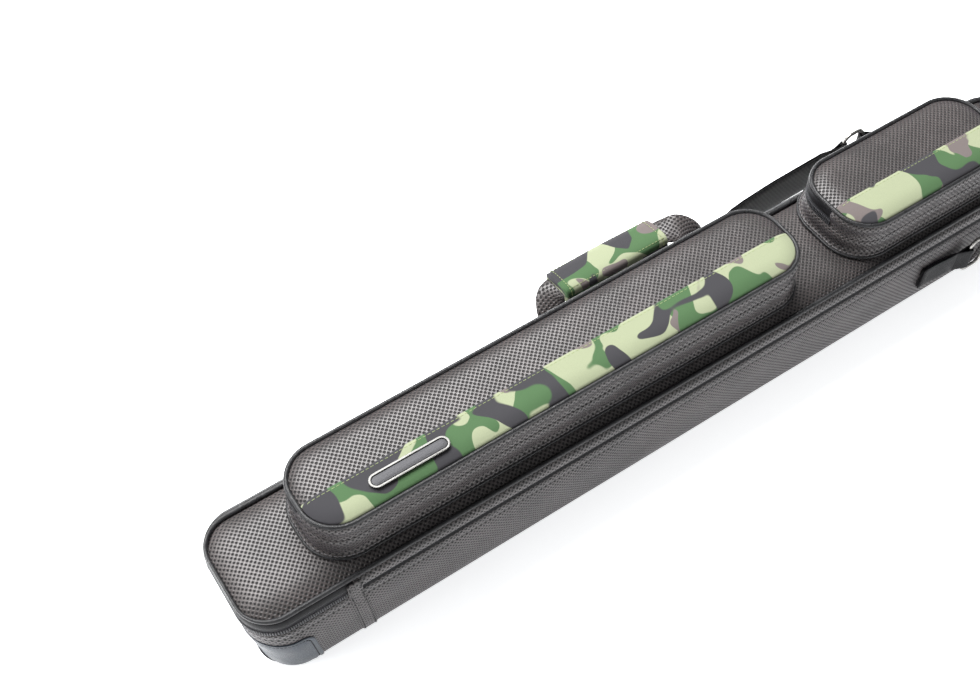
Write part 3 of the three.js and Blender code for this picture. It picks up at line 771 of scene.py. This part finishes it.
def make_pocket(name, lid_body, seed):
    pipe_low, pipe_high = box(f"{name}_piping")
    outline = Outline(pipe_low, pipe_high, POCKET_RADIUS, POCKET_PIPE)
    top = (pipe_low.z + pipe_high.z) / 2
    zipper = top - ZIP_DROP
    base = box(f"{name}_wall")[0].z
    zip_start = outline.sx + outline.arc + outline.sy - 6
    zip_runs, near_runs = (zip_start, outline.length - zip_start), (-zip_start, zip_start)
    all_round = outline.stations(step=7)
    near, zip_side = outline.stations(*near_runs, step=7), outline.stations(*zip_runs, step=7)

    def place(st, outset, z):
        free = min(1, max(0, (zipper - z) / 6)) * min(1, max(0, (z - base) / 8))
        out = outset + 1.3 * free * noise.noise(Vector((st[0] / 38, st[1] / 38, z / 22 + seed)))
        return Vector((st[0] + st[2] * out, st[1] + st[3] * out, z))

    gusset = curve([(0.9, zipper - 3.8), (1.9, zipper - 5.2), (2.5, zipper - 8.5), (1.9, base + 10.5),
                    (1.5, base + 7.5), (2.4, base + 4.6), (4.3, base + 2.9), (4.6, base + 1.4),
                    (3.6, base + 0.3)])
    sweep(f"{name}_gusset", all_round, thick(gusset, 1.2), place, PERFORATED, LID, replaces=f"{name}_wall")
    sweep(f"{name}_foot_welt", all_round, circle(1.3, base + 1.4, 4.9, 10), place, PIPING, LID,
          slot="smooth_leather", replaces=f"{name}_base_welt")
    sweep(f"{name}_tape", zip_side, profile(LOW_TAPE, zipper, 0.7), place, TAPE, LID, False,
          replaces=f"{name}_zip_tape")
    sweep(f"{name}_lid_tape_cloth", zip_side, profile(HIGH_TAPE, zipper, 0.7), place, TAPE, lid_body, False,
          replaces=f"{name}_lid_tape")
    for half, body, node, way in (("coil", LID, "zip_teeth", -1), ("lid_coil", lid_body, "lid_teeth", 1)):
        coil(f"{name}_{half}", outline, zip_runs, POCKET_COIL_OUT, zipper + way * POCKET_COIL_GAP, place,
             body, f"{name}_{node}", way)
    sweep(f"{name}_zip_cover", zip_side, profile(ZIP_COVER, top, 0.9), place, SMOOTH, lid_body, False,
          replaces=f"{name}_lid_band")
    band = curve([(outset, top + rise) for outset, rise in NEAR_BAND])
    sweep(f"{name}_near_band", near, thick(band, 1.1), place, PERFORATED, lid_body, False)
    leaf = sweep(f"{name}_hinge_leather", near, profile(POCKET_HINGE, zipper, 0.8), place, PERFORATED, None,
                 False)
    bend(leaf)
    sweep(f"{name}_piping_cord", all_round, circle(POCKET_PIPE, top), place, PIPING, lid_body,
          slot="piping", replaces=f"{name}_piping")

    def crown(x, y):
        edge = max(0, 1 - outline.inset(x, y) / 20)
        soft = min(1, outline.inset(x, y) / 14)
        return top + 4.0 - 5.4 * edge ** 2.6 + 0.5 * soft * ripple(x, y, seed, 48)

    dome(f"{name}_skin", outline, crown, 1.3, in_plan, PERFORATED, lid_body, replaces=f"{name}_panel")
    make_strip(name, outline, crown, lid_body)
    sewn(f"{name}_foot_stitching", GREY_THREAD, LID,
         wall_line(outline, 0, outline.length, 3.9, base + 3.5, place))
    sewn(f"{name}_rim_stitching", DARK_THREAD, lid_body,
         wall_line(outline, *near_runs, outset_line(band)(top - RIM_SEAM), top - RIM_SEAM, place))
    make_pocket_lining(name, outline, base, zipper, top, lid_body)


def make_strip(name, outline, crown, lid_body):
    """The camouflage strip that lies over the hinge half of a pocket's panel."""
    edge = box(f"{name}_camo_strip")[1].y
    left, right = outline.cx - outline.hx, outline.cx + outline.hx
    across, count = 16, int((right - left) / 5)
    rim = 2.1

    def side(x, sign):
        """Where the strip meets the piping at a place along the pocket."""
        reach = abs(x - outline.cx) - outline.sx
        depth = sqrt(max(0, (outline.radius - rim) ** 2 - max(0, reach) ** 2))
        return outline.cy + sign * (outline.sy + depth)

    columns = []
    for i in range(count + 1):
        x = outline.cx - (outline.hx - rim) * cos(pi * i / count)
        low, high = min(side(x, -1), edge), min(side(x, 1), edge)
        columns.append([(x, low + (high - low) * j / across) for j in range(across + 1)])

    def lifted(x, y):
        fold = max(0, 1 - (edge - y) / 1.6)
        return crown(x, y) + 0.95 + 0.25 * (1 - fold) - 0.5 * fold ** 2

    rows = []
    for column in columns:
        upper = [Vector((x, y, lifted(x, y))) for x, y in column]
        lower = [Vector((x, y, crown(x, y) + 0.1)) for x, y in reversed(column)]
        rows.append([*upper, *lower])
    grid_piece(f"{name}_strip", rows, None, CAMO, lid_body, False, replaces=f"{name}_camo_strip")
    seam = edge - 2.6
    marks = [left + 6 + (right - left - 12) * i / 200 for i in range(201)]
    marks = [x for x in marks if outline.inset(x, seam) > 3.0]
    line = [Vector((x, seam, lifted(x, seam))) for x in marks]
    sewn(f"{name}_strip_stitching", PALE_THREAD, lid_body,
         (line, [Vector((0, 0, 1))] * len(line), 4.2, 2.9, 0.36, 0.05), slot="camouflage_cloth")


def make_pocket_lining(name, outline, base, zipper, top, lid_body):
    """Cloth inside a pocket and inside its lid."""
    inner = Outline((outline.cx - outline.hx, outline.cy - outline.hy),
                    (outline.cx + outline.hx, outline.cy + outline.hy), POCKET_RADIUS - 2, 1.6)

    def plain(st, outset, z):
        return Vector((st[0] + st[2] * outset, st[1] + st[3] * outset, z))

    line = ((0.6, zipper - 1.6), (0.3, zipper - 8), (0.1, base + 3), (-0.8, base + 0.9))
    walls = thick([Vector(p) for p in line], 0.5)
    sweep(f"{name}_wall_lining", inner.stations(step=12), walls, plain, LINING, LID, slot="plush_lining")
    for part, height, wave, body in (("floor", base + 0.9, 1.7, LID), ("lid", top - 2.6, 2.9, lid_body)):
        dome(f"{name}_{part}_lining", inner, lambda x, y: height + 0.4 * ripple(x, y, wave, 30), 0.5, in_plan,
             LINING, body, step=12, slot="plush_lining")


# ---- the inside ----
CHANNELS = ((-27, 30, 34), (0, 16, 20), (27, 30, 34))  # across, width and floor of each cue channel
CHANNEL_HALF = 395


def make_tray():
    """A plush tray whose channels have rounded lips and round floors."""
    lo, hi = box("cue_tray")
    outline = Outline(lo, hi, INNER_RADIUS)

    def surface(x, y):
        depth = 0.0
        for middle, width, floor in CHANNELS:
            across = min(1, abs(y - middle) / (width / 2))
            along = min(1, max(0, (CHANNEL_HALF - abs(x)) / 14))
            bowl = (1 - across ** 4) * (1 - (1 - along) ** 2)
            depth = max(depth, (hi.z - floor) * bowl)
        edge = max(0, 1 - outline.inset(x, y) / 5)
        return hi.z - 0.4 - depth - 2.2 * edge * edge

    ys = [lo.y + 0.4 + (hi.y - lo.y - 0.8) * j / 76 for j in range(77)]
    xs = [-1 + 2 * i / 150 for i in range(151)]
    ends = (0.90, 0.915, 0.925, 0.935, 0.945, 0.955, 0.965, 0.98, 0.99)
    xs = sorted({*xs, *ends, *(-e for e in ends)})

    def half_length(y):
        past = max(0, abs(y) - outline.sy)
        return outline.sx + sqrt(max(0, outline.radius ** 2 - past ** 2))

    rows = []
    for share in xs:
        row = [Vector((share * half_length(y), y, surface(share * half_length(y), y))) for y in ys]
        rows.append([*row, *(Vector((p.x, p.y, lo.z)) for p in reversed(row))])
    piece = grid_piece("plush_tray", rows, None, PLUSH, BACK, False, replaces="cue_tray")


def make_lid_pad():
    """A quilted pad glued inside the lid."""
    lo, hi = box("lid_pad")
    outline = Outline(lo, hi, INNER_RADIUS)

    def quilt(x, y):
        edge = max(0, 1 - outline.inset(x, y) / 7)
        panel = 1 - abs(cos(pi * x / 62)) ** 10
        return -lo.z - 2.6 * edge * edge - 2.0 * (1 - panel) - 0.3

    piece = dome("lid_quilted_pad", outline, quilt, 6.0, lambda x, y, h: Vector((x, y, -h)), PLUSH, LID,
                 replaces="lid_pad")


# ---- handle, straps and rings ----
def carried(name, frames, section, material, body, closed=False, **facts):
    """A closed section carried along frames of an origin and two directions."""
    rows = [[o + a * p[0] + b * p[1] for p in section] for o, a, b in frames]
    runs = (runs_of([frame[0] for frame in frames]), runs_of(section))
    return grid_piece(name, rows, runs, material, body, closed, **facts)


def ribbon_section(width, thickness, crown=0.0):
    """A flat strap's section with rounded edges, as places along its width and thickness."""
    half, edge = width / 2, thickness / 2
    spans = [-half + edge, -half * 0.6, 0, half * 0.6, half - edge]
    upper = [Vector((w, edge + crown * (1 - (w / half) ** 2))) for w in spans]
    lower = [Vector((w, -edge)) for w in reversed(spans)]
    return [*upper, Vector((half, edge * 0.4)), Vector((half, -edge * 0.4)), *lower,
            Vector((-half, -edge * 0.4)), Vector((-half, edge * 0.4))]


def ribbon(name, line, across, section, material, body, widths=None, **facts):
    """A strap along a line of points, lying across one direction or one for each point."""
    frames = []
    for i, point in enumerate(line):
        along = (line[min(i + 1, len(line) - 1)] - line[max(i - 1, 0)]).normalized()
        wide = across[i] if isinstance(across, list) else across
        wide = (wide - along * wide.dot(along)).normalized()
        share = widths[i] if widths else 1
        frames.append((point, wide * share, along.cross(wide)))
    return carried(name, frames, section, material, body, **facts)


def looped(line, bar, radius, back):
    """A strap's line that comes to an upright bar, turns round it and returns beside itself."""
    end = (Vector((bar.x, bar.y, 0)) - Vector((line[-1].x, line[-1].y, 0))).normalized()
    side = Vector((-end.y, end.x, 0))
    turn = [bar + (side * cos(angle) + end * sin(angle)) * radius
            for angle in (pi * i / 8 for i in range(9))]
    home = [point - side * back for point in reversed(line)]
    return curve([*line, *turn, *home], 3)


GRIP_TURN = radians(35)  # the grip's flat face turned up from the straps' plane
GRIP_INWARD = 5.5  # the soft grip hangs this much nearer to the case


def make_grip(centre, half, flat, out):
    """The padded sleeve, flattened, with straight-cut ends and sewn rows."""
    swell = [(0.3, 1.02), (0.6, 1.0), (0.93, 0.97), (0.975, 0.98), (0.992, 0.92), (1, 0.82)]
    sections = [*((-a, b) for a, b in reversed(swell)), (0, 1.03), *swell]
    ring = []
    for k in range(32):
        angle = 2 * pi * k / 32
        c, s = cos(angle), sin(angle)
        ring.append(Vector((17.2 * copysign(abs(c) ** 0.55, c), 8.8 * copysign(abs(s) ** 0.6, s))))
    frames = []
    for step in curve([(a, b, 0) for a, b in sections], 4):
        frames.append((centre + Vector((step[0] * half, 0, 0)), flat * step[1], out * step[1]))
    grip = carried("grip_sleeve", frames, ring, CAMO, "handle", replaces="handle_grip")
    thread = Beads()
    for side in (-1, 1):
        line = [centre + Vector(((half - 4) * (i / 30 - 1), 0, 0)) + flat * 14.6 * side + out * 7.2
                for i in range(61)]
        thread.stitch(line, [flat * side * 0.4 + out] * len(line), 3.6, 2.4, 0.4, 0.2)
        at_end = centre + Vector((side * (half - 5.5), 0, 0))
        outward = [flat * p.x + out * p.y for p in [*ring, ring[0]]]
        thread.stitch([at_end + p for p in outward], outward, 3.2, 2.2, 0.36, 0.0)
    thread.piece("grip_stitching", PALE_THREAD, "handle", slot="camouflage_cloth")


def make_handle():
    lo, hi = box("handle_grip")
    centre = (lo + hi) / 2
    swing = next(j for j in frame["record"]["behaviour"]["joints"] if j["name"] == "handle_swing")
    pivot = Vector((0, *swing["pos_m"][1:])) / MM
    reach = centre - pivot
    reach.x = 0
    out = reach.normalized()
    flat = Vector((1, 0, 0)).cross(out)
    half = (hi.x - lo.x) / 2
    wide = flat * cos(GRIP_TURN) - out * sin(GRIP_TURN)
    thin = flat * sin(GRIP_TURN) + out * cos(GRIP_TURN)
    hung = centre + Vector((0, -GRIP_INWARD, 0))
    make_grip(hung, half, wide, thin)
    far, off = (hung - pivot).dot(out), (hung - pivot).dot(flat)
    wall_y = box("handle_anchor_left")[1].y
    end = half - 3
    for side, sign in (("left", -1), ("right", 1)):
        a_lo, a_hi = box(f"handle_anchor_{side}")
        foot = (a_lo.x + a_hi.x) / 2
        # points along X, outwards and across, and how far the strap has twisted by then
        if side == "left":
            route = [(foot, -4, 0), (foot + 1, 8, 1), (foot + 1, 18, 2), (foot + 2, far - 14, 3),
                     (foot + 6, far - 5, 3), (foot + 12, far, off), (-end, far, off)]
            turns = [0, 0, 0.1, 0.3, 0.6, 0.9, 1]
        else:
            route = [(foot, -4, 0), (foot + 1, 8, 3), (foot, 16, 8), (foot - 3, far - 12, 12),
                     (foot - 11, far - 3, 12), (foot - 21, far - 1, 7), (end + 6, far, off), (end, far, off)]
            turns = [0, 0, 0.1, 0.25, 0.45, 0.7, 0.9, 1]
        line = curve([pivot + Vector((x, 0, 0)) + out * o + flat * f for x, o, f in route], 6)
        line[0] = Vector((line[0].x, wall_y + 0.8, line[0].z))
        across, inward = [], []
        for i, point in enumerate(line):
            along = (line[min(i + 1, len(line) - 1)] - line[max(i - 1, 0)]).normalized()
            level = flat.cross(along).normalized()
            at = i / (len(line) - 1) * (len(turns) - 1)
            k = min(int(at), len(turns) - 2)
            turn = (pi / 2 - GRIP_TURN) * (turns[k] + (turns[k + 1] - turns[k]) * (at - k))
            lie = level * cos(turn) + flat * (sign * sin(turn))
            lie = (lie - along * lie.dot(along)).normalized()
            across.append(lie)
            inward.append(point - along.cross(lie) * 1.5)
        outer = ribbon(f"handle_end_{side}", line, across, ribbon_section(26, 1.9, 0.5), PERFORATED, None,
                       replaces=f"handle_strap_{side}")
        inner = ribbon(f"handle_end_{side}_lining", inward, across, ribbon_section(24, 1.2), CLOTH, None,
                       slot="strap")
        for strap in (outer, inner):
            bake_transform(strap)
        make_anchor(side, a_lo, a_hi)


def make_anchor(side, lo, hi):
    """A sewn patch that holds a strap to the wall."""
    outline = Outline((lo.x, lo.z), (hi.x, hi.z), 4)

    def place(u, v, h):
        return Vector((u, hi.y + (h - 1.4), v))

    def rise(u, v):
        edge = outline.inset(u, v)
        return 0.9 + 0.5 * min(1, edge / 4) - 0.3 * exp(-((edge - 2.4) / 0.7) ** 2)

    dome(f"handle_patch_{side}", outline, rise, 2.6, place, PERFORATED, BACK, step=3,
         replaces=f"handle_anchor_{side}")
    marks = Outline((lo.x, lo.z), (hi.x, hi.z), 2.6, 2.4).walk(60)
    line = [place(m[0], m[1], 1.3) for m in marks]
    sewn(f"handle_patch_{side}_stitching", DARK_THREAD, BACK,
         (line, [Vector((0, 1, 0))] * len(line), 3.0, 2.1, 0.34))


def make_ring(name, node, body):
    """A rounded wire loop that stands on edge."""
    lo, hi = box(node)
    wire = 1.7
    loop = Outline((lo.x, lo.z), (hi.x, hi.z), 8, wire)
    y = (lo.y + hi.y) / 2
    frames = [(Vector((st[0], y, st[1])), Vector((st[2], 0, st[3])), Vector((0, 1, 0)))
              for st in loop.stations(step=4, corner=9)]
    carried(name, frames, circle(wire, 0, sides=12), NICKEL, body, closed=True, replaces=node)


RING_BAR = 1.8  # from a ring's side to the middle of its upright bar


def make_tabs_and_strap():
    up = Vector((0, 0, 1))
    leather = ribbon_section(26, 1.5, 0.3)
    lo, hi = box("near_ring_tab")
    ring_lo, ring_hi = box("near_ring")
    middle = (lo.z + hi.z) / 2
    bar = Vector((ring_lo.x + RING_BAR, (ring_lo.y + ring_hi.y) / 2, middle))
    route = [Vector((lo.x, -58.4, middle)), Vector((lo.x + 16, -58.8, middle)),
             Vector((bar.x - 20, -60.2, middle))]
    ribbon("near_tab_strap", looped(route, bar, 2.9, -2.0), up, leather, SMOOTH, BACK,
           replaces="near_ring_tab")
    lo, hi = box("far_ring_tab")
    ring_lo, ring_hi = box("far_ring")
    middle = (lo.z + hi.z) / 2
    bar = Vector((ring_hi.x - RING_BAR, (ring_lo.y + ring_hi.y) / 2, middle))
    route = [Vector((hi.x, 60.6, middle)), Vector((hi.x - 14, 61.8, middle)),
             Vector((bar.x + 26, 76, middle))]
    ribbon("far_tab_strap", looped(route, bar, 2.9, 2.0), up, leather, SMOOTH, BACK, replaces="far_ring_tab")
    strap_lo, strap_hi = box("carry_strap")
    eye = Vector((ring_lo.x + RING_BAR, bar.y, middle))
    low = (strap_lo.z + strap_hi.z) / 2
    start = strap_lo.x + 1.5
    route = [(start, 61, low), (start + 6, 67, low), (start + 18, 80, low), (start + 41, 88, low),
             (start + 87, 92, low), (eye.x - 70, 93, low), (eye.x - 26, 93.5, low + 1)]
    line = looped([Vector(p) for p in route], eye, 2.8, -1.9)
    wide = strap_hi.z - strap_lo.z
    narrow = 27 / wide
    widths = [narrow + (1 - narrow) * min(1, max(0, (eye.x - 5 - p.x) / 18)) for p in line]
    ribbon("carry_webbing", line, up, ribbon_section(wide, 1.5, 0.2), WEBBING, BACK, widths,
           slot="strap", replaces="carry_strap")


def refined(name, node, body, material, bevel=0.35):
    """A finer copy of a small metal piece, with its edges rounded."""
    mesh = bpy.data.objects[node].data.copy()
    mesh.materials.clear()
    mesh.materials.append(material)
    bm = bmesh.new()
    bm.from_mesh(mesh)
    bmesh.ops.remove_doubles(bm, verts=bm.verts, dist=1e-6)
    bmesh.ops.dissolve_limit(bm, angle_limit=radians(1), verts=bm.verts, edges=bm.edges)
    bm.to_mesh(mesh)
    bm.free()
    piece = add_object(name, mesh)
    rounding = piece.modifiers.new("rounding", "BEVEL")
    rounding.width = bevel * MM
    rounding.segments = 3
    rounding.limit_method = "ANGLE"
    mesh.shade_smooth()
    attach(piece, body)
    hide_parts(node)


def make_metal():
    for name in ("main", "long_pocket", "short_pocket"):
        refined(f"{name}_zip_slider", f"{name}_slider", f"{name}_slider", NICKEL)
        refined(f"{name}_zip_pull", f"{name}_pull", f"{name}_pull", NICKEL, 0.25)
    refined("badge_plate", "badge", "long_pocket_lid", BADGE_METAL, 0.3)
    lo, hi = box("badge")
    rim = 1.9
    inlay = Outline((lo.x + rim, lo.y + rim), (hi.x - rim, hi.y - rim), (hi.y - lo.y) / 2 - rim - 0.1)
    dome("badge_inlay", inlay, lambda x, y: hi.z - 0.55 + 0.25 * min(1, inlay.inset(x, y) / 3), 0.4, in_plan,
         BRUSHED, "long_pocket_lid", step=3, slot="nickel")
    make_ring("near_ring_wire", "near_ring", "near_ring")
    make_ring("far_ring_wire", "far_ring", BACK)


FLOOR_HALF = 30.0
FLOOR_GLOW = 0.71  # brings the paper to the white of the picture


def dress_shells():
    for node in ("back_shell", "lid_shell"):
        shell = bpy.data.objects[node]
        shell.data.materials.clear()
        shell.data.materials.append(BOARD)


def make_floor():
    mesh = bpy.data.meshes.new("floor")
    corners = [(x * FLOOR_HALF, y * FLOOR_HALF, 0) for x, y in ((-1, -1), (1, -1), (1, 1), (-1, 1))]
    mesh.from_pydata(corners, [], [(0, 1, 2, 3)])
    look = Look("paper_floor", ior=1.3)
    spread = look.noise(look.object_mm(), 0.002, 2)
    paper = look.mix(spread, (0.93, 0.94, 0.95), (0.95, 0.955, 0.96))
    mesh.materials.append(look.use(base_color=paper, roughness=0.9, emission_color=paper,
                                   emission_strength=FLOOR_GLOW))
    floor = add_object("floor", mesh)
    floor.location.z = -0.0003


make_back()
make_lid_wall()
make_protectors()
make_end_tabs()
make_pocket("long_pocket", "long_pocket_lid", 4.0)
make_pocket("short_pocket", "short_pocket_lid", 8.0)
make_tray()
make_lid_pad()
make_handle()
make_tabs_and_strap()
make_metal()
dress_shells()
make_floor()
